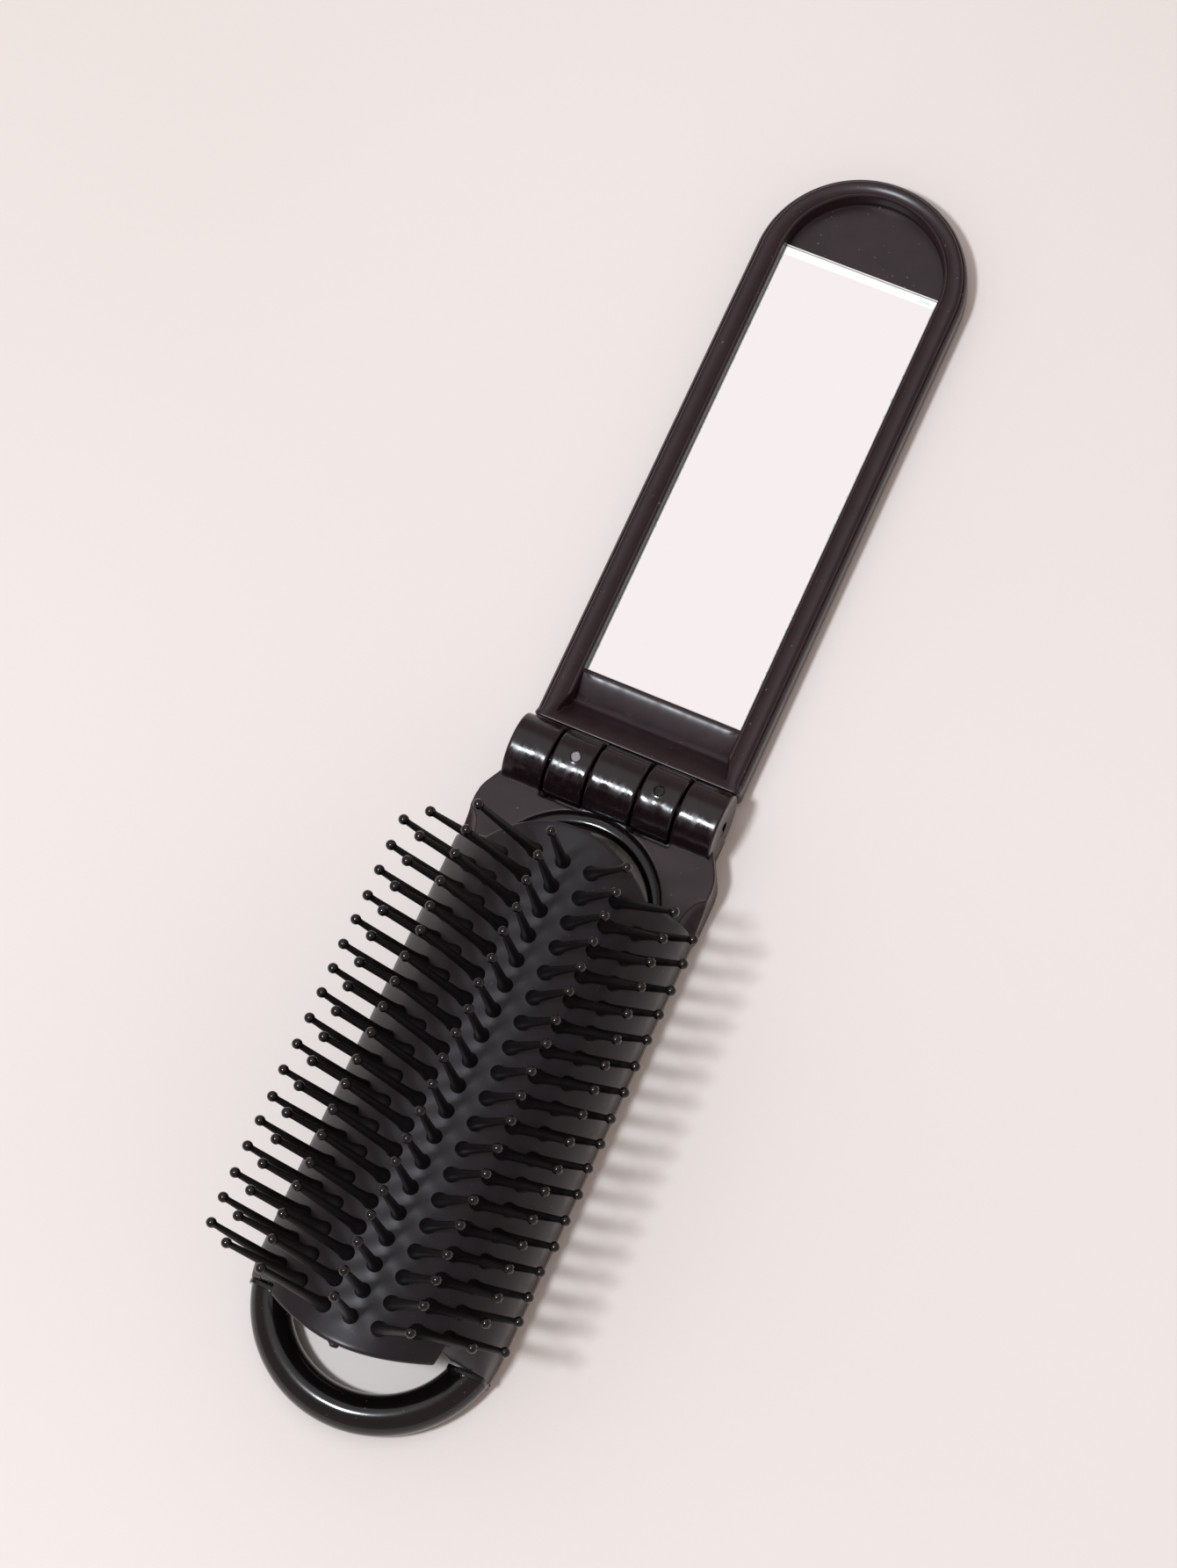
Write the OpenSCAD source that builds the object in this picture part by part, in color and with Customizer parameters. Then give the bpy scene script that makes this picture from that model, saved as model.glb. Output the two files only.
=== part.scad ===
// Folding hairbrush with mirror: a brush half and a mirror half that share one
// steel hinge pin. The brush half is a frame with a hanging loop. Its arched
// bristle pad snaps through between the rails, so that the halves can close.
// The pad is drawn as seven strips, one for each row of bristles, with a shoulder
// strip and a fixed edge at each side.
// X runs along the hinge pin, Y from the loop to the mirror's round end, Z up.
// The open brush lies on its back with the bristles up.

/* [Hinge] */
// Radius of the knuckle barrel
barrel_r = 5.0; // [4.2:0.1:5.6]
// Radius of the steel pin
pin_r = 1.1; // [0.8:0.05:1.6]
// Running clearance of the mirror knuckles on the pin, on the radius
pin_play = 0.05; // [0.02:0.01:0.1]
// Clearance of the frame knuckles on the pin, on the radius
pin_seat = 0.02; // [0.01:0.01:0.05]
// Width over all knuckles
hinge_w = 32.0; // [28:0.5:32.5]
// Width of the middle knuckle, with half a gap at each side
mid_knuckle_w = 7.4; // [5:0.2:9]
// Width of each mirror knuckle, with half a gap at each side
mirror_knuckle_w = 6.05; // [4.5:0.05:7]
// Gap between neighbouring knuckles
knuckle_gap = 0.35; // [0.2:0.05:0.6]
// How far the pin's ends lie inside the barrel ends
pin_recess = 0.6; // [0.2:0.1:1.5]
// Gap between a barrel and the other half
swing_gap = 0.5; // [0.4:0.05:0.8]
// Gap between the halves when they are closed
closed_gap = 0.3; // [0.1:0.05:0.5]
// Diameter of the round moulding mark on each mirror knuckle
mark_d = 1.7; // [1:0.1:2.4]
// Depth of the moulding mark
mark_depth = 0.15; // [0.1:0.05:0.4]

/* [Brush frame] */
// How far the plate stands out past the pad's edges, at each side
plate_step = 0.3; // [0.1:0.1:1]
// Height of the plate's top above the table
plate_top = 6.4; // [5.8:0.1:7]
// Thickness of the plate's top wall
plate_wall = 2.2; // [1.6:0.1:3]
// Thickness of the plate's side walls
side_wall = 1.8; // [1.4:0.1:2.6]
// Distance from the pin to where the plate reaches its full width
shoulder_y = 8.5; // [7.5:0.1:10]
// Distance from the pin to the plate's end at the pad
plate_end_y = 15.6; // [14.5:0.1:16.5]
// Radius of the round end of the plate's opening
mouth_r = 11.7; // [11.6:0.1:12.2]
// Distance from the pin to the centre of that round end
mouth_y = 18.3; // [18:0.1:19.5]
// Radius of the rounded lip along the opening
lip_r = 0.6; // [0.4:0.05:0.8]
// Distance from the pin to the loop's centre
loop_y = 78.8; // [76:0.2:82]
// How far the loop's centre line lies inside the pad's edges
loop_inset = 2.26; // [2:0.02:2.8]
// Radius of the loop's round bar
loop_bar_r = 2.9; // [2.4:0.05:3.2]
// Width of each side rail under the pad's edge
rail_w = 1.5; // [1.2:0.05:1.5]
// Height of the rails
rail_h = 1.8; // [1.4:0.1:2]
// Width of the groove along each rail
groove_w = 0.5; // [0.4:0.05:0.7]
// Depth of that groove
groove_depth = 1.0; // [0.6:0.1:1.2]

/* [Bristle pad] */
// Width of the pad's fixed edge at each side
edge_w = 1.7; // [1.6:0.05:2]
// Height of the pad's crest above the table
crest_z = 19.6; // [18.5:0.1:20.5]
// Radius of the pad's arch
arch_r = 20.0; // [19.4:0.1:21]
// Radius that turns the arch into the upright edges
edge_r = 8.0; // [7:0.1:9]
// Thickness of the pad's sheet
sheet_t = 1.0; // [0.8:0.05:1.1]
// Clearance of the pad's edges in the grooves of the rails, at each side
edge_play = 0.05; // [0.02:0.01:0.1]
// Gap between neighbouring strips
seam_gap = 0.32; // [0.3:0.02:0.5]
// Gap between the pad's edges and the closed mirror half
side_gap = 0.35; // [0.3:0.05:0.6]
// Distance from the pin to the start of the pad's edges
edge_start_y = 15.9; // [15.9:0.1:17]
// Gap between the ends of the pad's edges and the frame
pad_end_gap = 0.3; // [0.3:0.05:0.5]
// Distance from the pin to the end of the pad's edges
edge_end_y = 83.8; // [82.8:0.1:84.5]
// Distance from the pin to the pad's tongue at the hinge
tongue_hinge_y = 10.8; // [9.5:0.1:12]
// Radius of the tongue's outline at the hinge
tongue_hinge_r = 13.8; // [13.4:0.1:14.2]
// Distance from the pin to the pad's tongue at the loop
tongue_loop_y = 88.0; // [87:0.1:89]
// Radius of the tongue's outline at the loop
tongue_loop_r = 16.1; // [15:0.1:16.2]

/* [Bristles] */
// Distance between the bristles of a row
pitch = 3.8; // [3.7:0.01:3.9]
// Distance from the pin to the first bristle of the middle row
first_row_y = 16.1; // [15.8:0.1:16.6]
// Least room between the middle row's last bristle and the tongue's end
row_end_room = 3.0; // [2.8:0.1:3.4]
// Distance of the first row from the middle row
row_1_x = 4.2; // [4:0.05:4.5]
// Distance of the second row
row_2_x = 8.75; // [8.4:0.05:9]
// Distance of the third row
row_3_x = 12.6; // [12.3:0.05:12.8]
// Lean of the first row outwards, in degrees
lean_1_deg = 26.2; // [24:0.2:30]
// Lean of the second row
lean_2_deg = 46.9; // [44:0.1:50]
// Lean of the third row
lean_3_deg = 46.9; // [44:0.1:50]
// Length of the bristles in the middle and first rows
long_bristle = 16.2; // [15:0.1:16.6]
// Length of the bristles in the outer two rows
short_bristle = 13.2; // [12:0.1:13.6]
// Radius of a bristle's ball tip
ball_r = 0.75; // [0.6:0.05:0.85]
// Radius of a bristle just below its ball
neck_r = 0.45; // [0.35:0.05:0.55]
// Radius of a bristle above its foot
stem_r = 0.7; // [0.6:0.05:0.8]
// Radius of a bristle's foot
foot_r = 0.95; // [0.85:0.05:1]
// Height of a bristle's foot
foot_h = 1.6; // [1:0.1:2.4]

/* [Mirror half] */
// Half width of the mirror half
shell_half_w = 15.85; // [15:0.05:16]
// Distance from the pin to the centre of its round end
shell_round_y = 84.2; // [80:0.2:90]
// Distance from the pin to the centre of the recess's round end
recess_round_y = 85.0; // [81:0.2:91]
// Height of the shell's rim above the table
rim_top = 5.4; // [5.2:0.1:5.8]
// Width of the rim
rim_w = 3.75; // [3:0.05:4.4]
// Thickness of the shell's back
back_wall = 1.9; // [1.4:0.1:2.2]
// Rounding of the shell's upper and lower outer edges
shell_round = 1.4; // [0.8:0.1:1.6]
// Thickness of the lip wall at the hinge
lip_wall = 2.6; // [1.6:0.1:3]
// Width of the sloping bar that holds the glass
ramp_w = 4.1; // [3:0.1:5]
// How far the sloping bar stands above the glass
ramp_rise = 0.7; // [0.4:0.1:1.2]
// Length of the glass
glass_l = 71.1; // [66:0.1:71.1]
// Distance from the pin to the glass
glass_y = 15.0; // [14:0.1:17]
// Thickness of the glass
glass_t = 1.2; // [1:0.1:2]
// Gap around the glass
glass_gap = 0.1; // [0.05:0.05:0.3]
// Width of the glass's polished bevel
glass_bevel = 0.8; // [0.4:0.1:1.2]
// Thickness of the adhesive pad under the glass
tape_t = 0.15; // [0.1:0.05:0.4]
// How far the adhesive pad stays inside the glass's border
tape_inset = 1.5; // [1:0.5:4]

/* [Hidden] */
plastic = "#231f20";
steel = "#b9bbbd";
silver = "#e9e4e3";

// pin height: the halves close face to face about it
pin_z = (plate_top + rim_top + closed_gap) / 2;
shell_end = shell_round_y + shell_half_w;
knuckle_1 = mid_knuckle_w / 2;
knuckle_2 = knuckle_1 + mirror_knuckle_w;
shell_start = barrel_r + swing_gap;
slot_y = barrel_r + swing_gap;
glass_w = 2 * (shell_half_w - rim_w - glass_gap);
glass_z = back_wall + tape_t;
ramp_top = glass_z + glass_t + ramp_rise;
// the pad's edges lie outside the closed mirror half
edge_in = shell_half_w + side_gap;
pad_half_w = edge_in + edge_w;
plate_half_w = pad_half_w + plate_step;
loop_r = pad_half_w - loop_inset;
loop_end = loop_y + loop_r + loop_bar_r;
pin_y = (loop_end - shell_end) / 2;
rail_in = pad_half_w - rail_w;
groove_x = pad_half_w - sheet_t / 2;
// the arch and the arcs that turn it into the edges
arch_z = crest_z - arch_r;
edge_x = pad_half_w - edge_r;
edge_z = arch_z + sqrt(pow(arch_r - edge_r, 2) - pow(edge_x, 2));
// where the arch runs into the arc above the upright edge
edge_top_x = arch_r * edge_x / (arch_r - edge_r);
big = 300;
eps = 0.01;

// as many bristles as fit in the middle row and in each row beside it
inner_count = floor((tongue_loop_y - row_end_room - first_row_y) / pitch) + 1;

// angles round the arch: the rows, the seams between them and the last strip's end
row_1_a = asin(row_1_x / arch_r);
row_2_a = asin(row_2_x / arch_r);
row_3_a = asin(row_3_x / arch_r);
last_a = row_3_a + asin((foot_r + seam_gap) / arch_r);
seams = [row_1_a / 2, (row_1_a + row_2_a) / 2, (row_2_a + row_3_a) / 2, last_a];
seam_half_a = asin(seam_gap / 2 / arch_r);

module at_pin() { translate([0, pin_y, 0]) children(); }

// a section drawn in X and Z, run from the pin distance y0 to y1 towards the loop
module along(y0, y1) {
    translate([0, -y0, 0]) rotate([90, 0, 0]) linear_extrude(y1 - y0) children();
}

module barrel(x0, x1, r) {
    translate([x0, 0, pin_z]) rotate([0, 90, 0]) cylinder(r = r, h = x1 - x0, $fn = 96);
}

// ---- brush frame ----
module plate_outline(inset) {
    half = plate_half_w - inset;
    hinge_half = hinge_w / 2 - inset;
    polygon([[-hinge_half, -inset], [hinge_half, -inset], [hinge_half, -shell_start],
             [half, -shoulder_y], [half, -plate_end_y + inset],
             [-half, -plate_end_y + inset], [-half, -shoulder_y],
             [-hinge_half, -shell_start]]);
}

module mouth(r) {
    translate([0, -mouth_y]) circle(r = r, $fn = 96);
}

module plate() {
    difference() {
        union() {
            linear_extrude(plate_top) plate_outline(0);
            translate([0, -mouth_y, plate_top + closed_gap / 3 - lip_r])
                rotate_extrude($fn = 96) translate([mouth_r + lip_r, 0]) circle(lip_r, $fn = 32);
        }
        // hollow underside, with the wall round the opening left standing
        difference() {
            translate([0, 0, -eps]) linear_extrude(plate_top - plate_wall) intersection() {
                plate_outline(side_wall);
                translate([-big / 2, -big - shell_start - side_wall]) square(big);
            }
            linear_extrude(plate_top) mouth(mouth_r + side_wall);
        }
        translate([0, 0, -eps]) linear_extrude(big) mouth(mouth_r);
        translate([-big / 2, -big - plate_end_y, -eps]) cube([big, big, big]);
        // room for the mirror knuckles and for the barrels above the plate
        for (s = [-1, 1]) translate([s > 0 ? knuckle_1 - knuckle_gap / 2
                                           : -knuckle_2 - knuckle_gap / 2, -slot_y, -eps])
            cube([mirror_knuckle_w + knuckle_gap, big, big]);
        translate([-big / 2, 0, -eps]) cube([big, big, big]);
    }
}

module frame_knuckles() {
    end_in = knuckle_2 + knuckle_gap / 2;
    mid = knuckle_1 - knuckle_gap / 2;
    for (span = [[-hinge_w / 2, -end_in], [-mid, mid], [end_in, hinge_w / 2]])
        barrel(span[0], span[1], barrel_r);
}

module loop() {
    difference() {
        translate([0, -loop_y, loop_bar_r])
            rotate_extrude($fn = 128) translate([loop_r, 0]) circle(loop_bar_r, $fn = 48);
        translate([-big / 2, -edge_end_y - pad_end_gap, -big / 2]) cube(big);
    }
}

// one rail's section, with the groove for the pad's edge
module rail_section() {
    difference() {
        translate([rail_in, 0]) square([rail_w, rail_h]);
        translate([groove_x - groove_w / 2, rail_h - groove_depth]) square([groove_w, big]);
    }
}

module rails() {
    for (s = [0, 1]) mirror([s, 0, 0]) {
        along(plate_end_y - eps, edge_end_y + eps) rail_section();
        // the rail's end, cut to the loop's round outline
        intersection() {
            along(edge_end_y, edge_end_y + loop_bar_r / 2)
                translate([rail_in, 0]) square([rail_w, rail_h]);
            translate([0, -loop_y, 0]) cylinder(r = loop_r + loop_bar_r, h = big, $fn = 128);
        }
    }
}

module brush_frame() {
    color(plastic) at_pin() difference() {
        union() {
            plate();
            frame_knuckles();
            loop();
            rails();
        }
        barrel(-hinge_w, hinge_w, pin_r + pin_seat);
    }
}

module hinge_pin() {
    color(steel) at_pin() barrel(-hinge_w / 2 + pin_recess, hinge_w / 2 - pin_recess, pin_r);
}

// ---- bristle pad ----
module edge_fill(inset) {
    translate([edge_x, edge_z]) circle(edge_r - inset, $fn = 96);
    translate([0, edge_z - big]) square([pad_half_w - inset, big]);
}

module edge_section() {
    intersection() {
        union() {
            difference() {
                edge_fill(0);
                edge_fill(sheet_t);
            }
            difference() {
                intersection() {
                    arch_section(arch_r);
                    translate([0, edge_z]) square([edge_top_x, big]);
                }
                arch_section(arch_r - sheet_t);
                edge_fill(sheet_t);
            }
        }
        translate([edge_in, rail_h]) square(big);
    }
    // the tongue in the rail's groove
    translate([groove_x - groove_w / 2 + edge_play, rail_h - groove_depth + edge_play])
        square([groove_w - 2 * edge_play, groove_depth]);
}

module pad_edge(side) {
    color(plastic) at_pin() mirror([side < 0 ? 1 : 0, 0, 0])
        along(edge_start_y, edge_end_y) edge_section();
}

module arch_section(r) {
    translate([0, arch_z]) circle(r, $fn = 180);
}

// the sheet's section between two angles round the arch
module strip_section(a0, a1) {
    intersection() {
        difference() {
            arch_section(arch_r);
            arch_section(arch_r - sheet_t);
        }
        translate([0, arch_z]) polygon([[0, 0], [big * sin(a0), big * cos(a0)],
                                        [big * sin(a1), big * cos(a1)]]);
    }
}

// the sheet's outline seen from above
module sheet_outline() {
    translate([0, -tongue_hinge_y - tongue_hinge_r]) circle(tongue_hinge_r, $fn = 96);
    translate([-edge_in, -edge_end_y]) square([2 * edge_in, edge_end_y - edge_start_y]);
    translate([0, -tongue_loop_y + tongue_loop_r]) circle(tongue_loop_r, $fn = 96);
}

module bristle(length) {
    translate([0, 0, -sheet_t / 2]) cylinder(r1 = foot_r, r2 = stem_r, h = foot_h, $fn = 24);
    translate([0, 0, foot_h - sheet_t / 2 - eps])
        cylinder(r1 = stem_r, r2 = neck_r, h = length - foot_h - ball_r + sheet_t / 2, $fn = 24);
    translate([0, 0, length - ball_r]) sphere(ball_r, $fn = 24);
}

// a strip of the pad with its row of bristles moulded on it
module strip(a0, a1, row_a, lean, length, skipped) {
    color(plastic) at_pin() {
        intersection() {
            along(0, loop_end) strip_section(a0 + seam_half_a, a1 - seam_half_a);
            linear_extrude(big) sheet_outline();
        }
        for (i = [skipped : inner_count - 1 - skipped])
            translate([arch_r * sin(row_a), -first_row_y - i * pitch,
                       arch_z + arch_r * cos(row_a)])
                rotate([0, lean, 0]) bristle(length);
    }
}

// the strip of bare sheet between the last row and the pad's edge
module shoulder(side) {
    color(plastic) at_pin() mirror([side < 0 ? 1 : 0, 0, 0])
        along(edge_start_y, edge_end_y) intersection() {
            strip_section(last_a + seam_half_a, 90);
            square([edge_in - seam_gap, big]);
        }
}

module side_strip(side, number) {
    row_a = [row_1_a, row_2_a, row_3_a][number - 1];
    lean = [lean_1_deg, lean_2_deg, lean_3_deg][number - 1];
    length = number == 1 ? long_bristle : short_bristle;
    mirror([side < 0 ? 1 : 0, 0, 0])
        strip(seams[number - 1], seams[number], row_a, lean, length, (number - 1) / 2);
}

// ---- mirror half ----
module recess_outline(half_w, start) {
    translate([-half_w, start]) square([2 * half_w, recess_round_y - start]);
    translate([0, recess_round_y]) circle(half_w, $fn = 128);
}

// the shell's section: a block with rounded corners
module shell_section() {
    w = shell_half_w;
    r = shell_round;
    translate([-w + r, 0]) square([2 * (w - r), rim_top]);
    translate([-w, r]) square([2 * w, rim_top - 2 * r]);
    for (s = [-1, 1], z = [r, rim_top - r]) translate([s * (w - r), z]) circle(r, $fn = 48);
}

module shell_block() {
    translate([0, shell_round_y, 0]) rotate([90, 0, 0])
        linear_extrude(shell_round_y - shell_start) shell_section();
    translate([0, shell_round_y, 0]) rotate_extrude(angle = 180, $fn = 128) intersection() {
        shell_section();
        square([big, big]);
    }
}

module ramp() {
    inner = shell_half_w - rim_w;
    translate([-inner - eps, 0, 0]) rotate([90, 0, 90]) linear_extrude(2 * (inner + eps))
        polygon([[glass_y - glass_gap, back_wall - eps], [glass_y - glass_gap, ramp_top],
                 [glass_y - glass_gap - ramp_w / 4, ramp_top],
                 [glass_y - glass_gap - ramp_w, back_wall - eps]]);
}

module shell_knuckles() {
    for (s = [-1, 1]) {
        x0 = (s > 0 ? knuckle_1 : -knuckle_2) + knuckle_gap / 2;
        w = mirror_knuckle_w - knuckle_gap;
        barrel(x0, x0 + w, barrel_r);
        translate([x0, 0, pin_z - barrel_r]) cube([w, shell_start + eps, rim_top - pin_z + barrel_r]);
    }
}

module mirror_shell() {
    mark_x = (knuckle_1 + knuckle_2) / 2;
    color(plastic) at_pin() difference() {
        union() {
            difference() {
                shell_block();
                translate([0, 0, back_wall]) linear_extrude(big)
                    recess_outline(shell_half_w - rim_w, shell_start + lip_wall);
            }
            ramp();
            shell_knuckles();
        }
        barrel(-hinge_w, hinge_w, pin_r + pin_play);
        for (s = [-1, 1]) translate([s * mark_x, 0, pin_z + barrel_r - mark_depth])
            cylinder(d = mark_d, h = barrel_r, $fn = 32);
    }
}

module glass_plate(inset, z, t) {
    translate([-glass_w / 2 + inset, glass_y + inset, z])
        cube([glass_w - 2 * inset, glass_l - 2 * inset, t]);
}

module mirror_tape() {
    color("gray") at_pin() glass_plate(tape_inset, back_wall, tape_t);
}

module mirror_glass() {
    color(silver) at_pin() hull() {
        glass_plate(0, glass_z, glass_t / 2);
        glass_plate(glass_bevel, glass_z, glass_t);
    }
}

brush_frame();
hinge_pin();
pad_edge(-1);  // pad_edge_left
pad_edge(1);  // pad_edge_right
strip(-seams[0], seams[0], 0, 0, long_bristle, 0);  // pad_centre
side_strip(-1, 1);  // pad_left_1
side_strip(-1, 2);  // pad_left_2
side_strip(-1, 3);  // pad_left_3
side_strip(1, 1);  // pad_right_1
side_strip(1, 2);  // pad_right_2
side_strip(1, 3);  // pad_right_3
shoulder(-1);  // pad_shoulder_left
shoulder(1);  // pad_shoulder_right
mirror_shell();
mirror_tape();
mirror_glass();
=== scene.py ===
"""Looks of the folding hairbrush with mirror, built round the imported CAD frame."""
import math

import bmesh
import bpy
import numpy as np
from mathutils import Matrix, Vector

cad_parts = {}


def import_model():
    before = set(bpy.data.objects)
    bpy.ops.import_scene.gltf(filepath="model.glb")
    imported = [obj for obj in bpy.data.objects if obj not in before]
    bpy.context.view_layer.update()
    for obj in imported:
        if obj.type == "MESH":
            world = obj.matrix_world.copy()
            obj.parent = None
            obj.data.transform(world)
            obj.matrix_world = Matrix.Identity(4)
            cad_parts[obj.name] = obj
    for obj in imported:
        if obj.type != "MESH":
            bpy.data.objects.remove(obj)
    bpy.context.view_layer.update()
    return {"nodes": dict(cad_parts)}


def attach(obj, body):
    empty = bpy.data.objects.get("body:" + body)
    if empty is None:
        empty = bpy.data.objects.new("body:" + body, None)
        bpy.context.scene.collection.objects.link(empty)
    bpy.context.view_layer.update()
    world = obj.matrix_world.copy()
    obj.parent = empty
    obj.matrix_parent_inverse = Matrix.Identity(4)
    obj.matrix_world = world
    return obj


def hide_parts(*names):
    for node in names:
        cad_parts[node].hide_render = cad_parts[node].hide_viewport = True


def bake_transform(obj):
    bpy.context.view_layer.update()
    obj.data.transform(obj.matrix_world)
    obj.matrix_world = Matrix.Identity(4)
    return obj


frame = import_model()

# ---------------------------------------------------------------- sizes, in millimetres
MM = 0.001
# hinge: the pin in the row frame, the barrel, and where the knuckles begin and end in x
PIN_Y, PIN_Z = -1.355, 6.05
BARREL_R = 5.0
FRAME_KNUCKLES = ((-16.0, -9.925), (-3.525, 3.525), (9.925, 16.0))
MIRROR_KNUCKLE = (3.875, 9.575)
FRAME_BORE, MIRROR_BORE = 1.12, 1.15
MARK_X, MARK_Y = 6.4, 0.4       # the ejector pins' marks on the mirror's knuckles
# brush frame, with distances measured from the pin towards the loop
PLATE_TOP = 6.4
MOUTH_Y, MOUTH_R = 18.3, 13.3   # the round opening in the plate
LOOP_Y, LOOP_R = 78.8, 15.64    # centre of the hanging loop, and radius of its centre line
BAR_R = 2.9
ROUND_FROM = 79                 # from here the pad and the rails follow the loop's round end
# bristle pad
ARCH_R, CREST = 20.0, 19.6
ARCH_Z = CREST - ARCH_R
SHEET = 1.0                     # thickness of the pad's sheet
EDGE_X = 16.2                   # where the moving sheet meets the fixed edge
HALF_W = 17.9                   # half width of the pad
BAR_END, PAD_END = 83.5, 83.38  # where the loop's bar is cut, and the pad's edge before it
HINGE_TONGUE = (28.2, 17.4)     # centre and radius of the sheet's round end at the hinge
LOOP_TONGUE = (61.7, 27.0)      # and at the loop
TONGUE_X, EDGE_START = 12.2, 15.8
# rows of bristles, from the middle one outwards: place, lean outwards, length, shift, lean along
PITCH, FIRST, PER_ROW = 3.8, 16.1, 19
ROW_X = (0.0, 4.2, 8.75, 12.6)
ROW_LEAN = (0.0, 26.2, 46.9, 46.9)
ROW_LEN = (16.2, 16.2, 13.6, 13.2)
ROW_BACK, ROW_TILT = (0, 0, 0, 0.7), (1.4, 1.4, 1.4, -1.6)
ROW_A = [math.asin(x / ARCH_R) for x in ROW_X]
BALL_R = 0.75
# mirror half
SHELL_W, ROUND_Y, RECESS_Y = 15.85, 84.2, 85.0
SHELL_START, RIM_W = 5.5, 3.75
GLASS_X, GLASS_START, GLASS_END = 12.0, 15.0, 86.1
SILVER_END = 85.72              # where the silvering stops under the far bevel
rng = np.random.default_rng(7)


def srgb(text):
    """A hex colour as linear RGBA."""
    part = [int(text[i:i + 2], 16) / 255 for i in (1, 3, 5)]
    return [c / 12.92 if c <= 0.04045 else ((c + 0.055) / 1.055) ** 2.4 for c in part] + [1.0]


# ---------------------------------------------------------------- materials
def node(tree, kind, ins=(), **props):
    """Adds a node, sets its properties, and feeds its inputs from values or sockets."""
    n = tree.nodes.new(kind)
    for k, v in props.items():
        setattr(n, k, v)
    for k, v in dict(ins).items():
        if isinstance(v, bpy.types.NodeSocket):
            tree.links.new(v, n.inputs[k])
        else:
            n.inputs[k].default_value = v
    return n


def new_material(name):
    """A material with its tree, its shader and the object's own coordinates."""
    m = bpy.data.materials.new(name)
    m.use_nodes = True
    t = m.node_tree
    t.nodes.clear()
    shader = node(t, "ShaderNodeBsdfPrincipled")
    out = node(t, "ShaderNodeOutputMaterial")
    t.links.new(shader.outputs[0], out.inputs["Surface"])
    return m, t, shader, node(t, "ShaderNodeTexCoord").outputs["Object"]


def noise(t, where, size_mm, detail=2.0, rough=0.5):
    """Noise whose main features are size_mm wide."""
    return node(t, "ShaderNodeTexNoise", {"Vector": where, "Scale": 1 / (size_mm * MM),
                                          "Detail": detail, "Roughness": rough}).outputs["Fac"]


def span(t, value, a, b, lo, hi):
    """Carries values from a to b over to lo to hi."""
    return node(t, "ShaderNodeMapRange", {"Value": value, "From Min": a, "From Max": b,
                                          "To Min": lo, "To Max": hi}).outputs[0]


def two_tone(t, factor, a, b):
    """A colour between two hex colours; either may be a socket instead."""
    n = node(t, "ShaderNodeMix", {"Factor": factor}, data_type="RGBA")
    for i, c in ((6, a), (7, b)):
        if isinstance(c, str):
            n.inputs[i].default_value = srgb(c)
        else:
            t.links.new(c, n.inputs[i])
    return n.outputs[2]


def plus(t, a, b):
    """The sum of two sockets, or of a socket and a number."""
    return node(t, "ShaderNodeMath", {0: a, 1: b}, operation="ADD").outputs[0]


def moulded_plastic(name, base, dusty, rough, grain_mm, grain, wave_mm, wave, specular, skin=0.0):
    """Moulded black plastic: roughness that drifts a little, a fine grain from the mould's
    own surface, the slow waviness that breaks up its highlights, and a few specks of dust."""
    m, t, s, where = new_material(name)
    drift = noise(t, where, 7.0, 3.0)
    t.links.new(span(t, drift, 0.3, 0.7, rough[0], rough[1]), s.inputs["Roughness"])
    speck = span(t, noise(t, where, 0.55, 1.0), 0.745, 0.80, 0.0, dusty)
    tone = two_tone(t, span(t, noise(t, where, 3.0, 3.0), 0.35, 0.65, 0.0, 1.0), *base)
    t.links.new(two_tone(t, speck, tone, "#8d8587"), s.inputs["Base Color"])
    slow = node(t, "ShaderNodeBump", {"Height": noise(t, where, wave_mm, 1.0), "Strength": 1.0,
                                      "Distance": wave * MM})
    fine = node(t, "ShaderNodeBump", {"Height": noise(t, where, grain_mm, 2.0), "Strength": 1.0,
                                      "Distance": grain * MM, "Normal": slow.outputs[0]})
    t.links.new(fine.outputs[0], s.inputs["Normal"])
    s.inputs["Specular IOR Level"].default_value = specular
    s.inputs["IOR"].default_value = 1.5
    s.inputs["Coat Weight"].default_value = skin
    s.inputs["Coat Roughness"].default_value = 0.10
    return m


# satin ABS: plate, rim and glass bar scatter the studio's light into an even dark sheen
satin = moulded_plastic("satin_black_abs", ("#21141a", "#28181d"), 0.4, (0.27, 0.36),
                        0.16, 0.0030, 2.6, 0.008, 0.42)
# gloss ABS: the loop and the lip of the plate's mouth show sharp, slightly broken highlights
gloss = moulded_plastic("gloss_black_abs", ("#0b0809", "#0f0b0d"), 0.25, (0.14, 0.22),
                        0.30, 0.0014, 1.5, 0.008, 0.20, 0.5)
# flexible nylon of the pad: darker than the frame and softer, with a silky sheen
pad_skin = moulded_plastic("flexible_black_nylon", ("#110c12", "#17111a"), 0.15, (0.31, 0.41),
                           0.22, 0.0035, 2.2, 0.012, 0.42)
# bristle nylon: matt stems that stay black between the rows
stem_nylon = moulded_plastic("bristle_black_nylon", ("#0a0709", "#0f0b0d"), 0.0, (0.40, 0.52),
                             0.25, 0.0020, 1.2, 0.004, 0.35)
# the balls are melted smooth, so that each carries a point of light
ball_nylon = moulded_plastic("bristle_ball_gloss", ("#060405", "#0a0708"), 0.0, (0.12, 0.18),
                             0.40, 0.0008, 1.2, 0.002, 0.5)


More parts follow.
